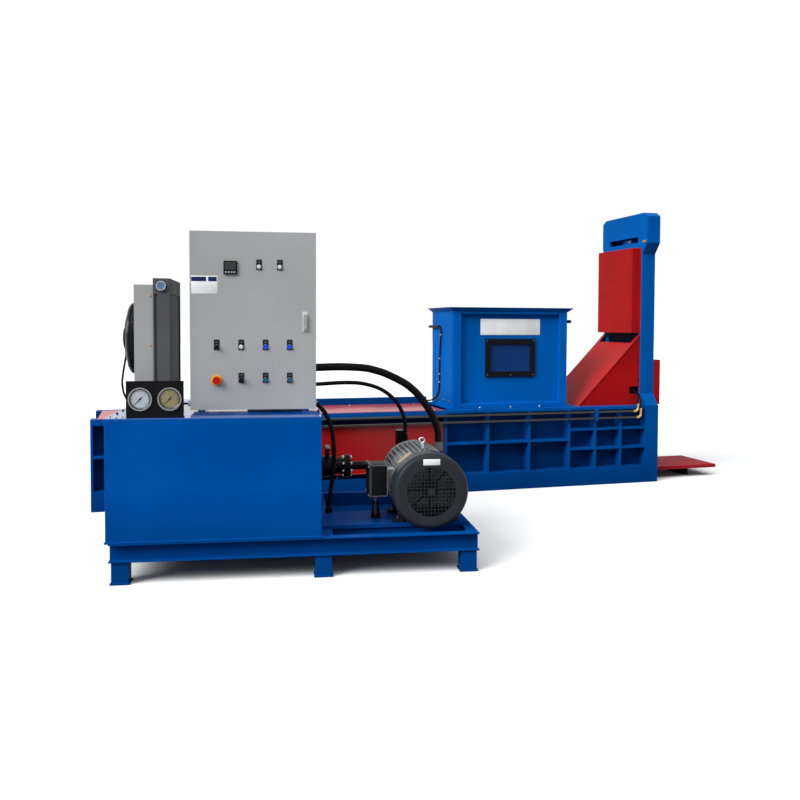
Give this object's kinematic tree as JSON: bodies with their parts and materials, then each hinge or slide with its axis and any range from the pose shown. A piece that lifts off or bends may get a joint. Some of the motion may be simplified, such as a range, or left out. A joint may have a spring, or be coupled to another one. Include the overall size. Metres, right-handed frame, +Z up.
{
  "type": "scrap metal baler",
  "caption": "Horizontal hydraulic scrap baler with a ribbed press box, top hopper, lifting exit gate in a tower, and a separate oil power unit with control cabinet.",
  "frame": {"origin": "centre of the press bed's underside, on the floor", "axes": "+X along the press towards the exit gate, +Y from the power unit's side to the far side, +Z up"},
  "size_m": [5.433, 2.9905, 2.383],
  "materials": {
    "press_blue": "gloss paint",
    "guard_red": "gloss paint",
    "ram_steel": "worn bare steel",
    "cylinder_dark": "satin paint",
    "frame_black": "satin",
    "window_glass": "clear",
    "pipe_black": "gloss paint",
    "fitting_brass": "plated",
    "hose_black": "matte",
    "cabinet_grey": "textured paint",
    "gauge_steel": "polished",
    "cooler_dark": "painted",
    "shroud_grey": "satin paint",
    "motor_grey": "painted",
    "valve_steel": "plated",
    "switchgear": "satin",
    "button_blue": "gloss",
    "button_teal": "gloss",
    "stop_red": "gloss"
  },
  "bodies": {
    "frame": {"bed": "press_blue", "side_frame_near": "press_blue", "side_frame_far": "press_blue", "cylinder_bulkhead": "press_blue", "hopper_shell": "press_blue", "hopper_front": "press_blue", "tower_front_plate": "press_blue", "tower_frame": "press_blue", "gate_cylinder": "press_blue", "skid": "press_blue", "motor_base": "press_blue", "oil_tank": "press_blue", "tank_lid": "press_blue", "cylinder_guards": "guard_red", "tower_guards": "guard_red", "slope_guard": "guard_red", "discharge_table": "guard_red", "main_cylinder": "cylinder_dark", "suction_line": "cylinder_dark", "window_frame": "frame_black", "level_sensors": "frame_black", "gauge_panel": "frame_black", "window_pane": "window_glass", "pressure_pipes": "pipe_black", "cooler_fan_motor": "pipe_black", "pipe_elbows": "fitting_brass", "sensor_cable": "hose_black", "gate_hose_upper": "hose_black", "gate_hose_lower": "hose_black", "hose_thick": "hose_black", "hose_thin": "hose_black", "motor_cable": "hose_black", "fan_cable": "hose_black", "cabinet_body": "cabinet_grey", "gauges": "gauge_steel", "cooler_core": "cooler_dark", "cooler_shroud": "shroud_grey", "motor_frame": "motor_grey", "motor_fan_cover": "motor_grey", "pump": "motor_grey", "valve_block": "valve_steel", "switchgear": "switchgear"},
    "ram": {"main_rod": "ram_steel", "ram_head": "ram_steel"},
    "gate": {"gate": "ram_steel"},
    "door": {"cabinet_door": "cabinet_grey", "door_fittings": "frame_black"},
    "lock": {"lock_handle": "frame_black"},
    "blue_left": {"button_blue_left": "button_blue"},
    "blue_right": {"button_blue_right": "button_blue"},
    "teal_left": {"button_teal_left": "button_teal"},
    "teal_right": {"button_teal_right": "button_teal"},
    "stop": {"stop_button": "stop_red"},
    "upper_switch": {"selector_upper": "frame_black"},
    "lower_switch": {"selector_lower": "frame_black"},
    "lever": {"valve_lever": "cylinder_dark"},
    "rotor": {"motor_rotor": "ram_steel"},
    "fan": {"cooler_fan": "frame_black"},
    "left_needle": {"needle_left": "frame_black"},
    "right_needle": {"needle_right": "frame_black"}
  },
  "joints": [
    {"name": "ram_slide", "type": "slide", "parent": "frame", "child": "ram", "axis": [1, 0, 0], "range_m": [0, 1.3]},
    {"name": "gate_lift", "type": "slide", "parent": "frame", "child": "gate", "axis": [0, 0, 1], "range_m": [0, 0.5]},
    {"name": "door_swing", "type": "hinge", "parent": "frame", "child": "door", "pos_m": [-1.72495, -2.10327, 0.902], "axis": [0, 0, -1], "range_deg": [0, 90]},
    {"name": "lock_lift", "type": "hinge", "parent": "door", "child": "lock", "pos_m": [-1.0936, -2.20221, 1.44], "axis": [-0.99, 0.1409, 0], "range_deg": [0, 30]},
    {"name": "blue_left_press", "type": "slide", "parent": "door", "child": "blue_left", "axis": [0.1409, 0.99, 0], "range_m": [0, 0.0035], "stiffness_N_per_m": 400},
    {"name": "blue_right_press", "type": "slide", "parent": "door", "child": "blue_right", "axis": [0.1409, 0.99, 0], "range_m": [0, 0.0035], "stiffness_N_per_m": 400},
    {"name": "teal_left_press", "type": "slide", "parent": "door", "child": "teal_left", "axis": [0.1409, 0.99, 0], "range_m": [0, 0.0035], "stiffness_N_per_m": 400},
    {"name": "teal_right_press", "type": "slide", "parent": "door", "child": "teal_right", "axis": [0.1409, 0.99, 0], "range_m": [0, 0.0035], "stiffness_N_per_m": 400},
    {"name": "stop_press", "type": "slide", "parent": "door", "child": "stop", "axis": [0.1409, 0.99, 0], "range_m": [0, 0.005]},
    {"name": "upper_turn", "type": "hinge", "parent": "door", "child": "upper_switch", "pos_m": [-1.58126, -2.12978, 1.255], "axis": [0.1409, 0.99, 0], "range_deg": [-45, 45]},
    {"name": "lower_turn", "type": "hinge", "parent": "door", "child": "lower_switch", "pos_m": [-1.4476, -2.1488, 1.068], "axis": [0.1409, 0.99, 0], "range_deg": [-45, 45]},
    {"name": "lever_turn", "type": "hinge", "parent": "frame", "child": "lever", "pos_m": [-0.8281, -1.48648, 0.45], "axis": [0, 0, 1], "range_deg": [0, 90]},
    {"name": "rotor_spin", "type": "hinge", "parent": "frame", "child": "rotor", "pos_m": [-0.37664, -2.11133, 0.447], "axis": [0.1409, 0.99, 0], "continuous": true},
    {"name": "fan_spin", "type": "hinge", "parent": "frame", "child": "fan", "pos_m": [-1.95447, -1.85646, 1.3], "axis": [0.99, -0.1409, 0], "continuous": true},
    {"name": "left_needle_turn", "type": "hinge", "parent": "frame", "child": "left_needle", "pos_m": [-1.99086, -2.31087, 0.985], "axis": [0.1409, 0.99, 0], "range_deg": [0, 270]},
    {"name": "right_needle_turn", "type": "hinge", "parent": "frame", "child": "right_needle", "pos_m": [-1.84037, -2.33229, 0.985], "axis": [0.1409, 0.99, 0], "range_deg": [0, 270]}
  ]
}
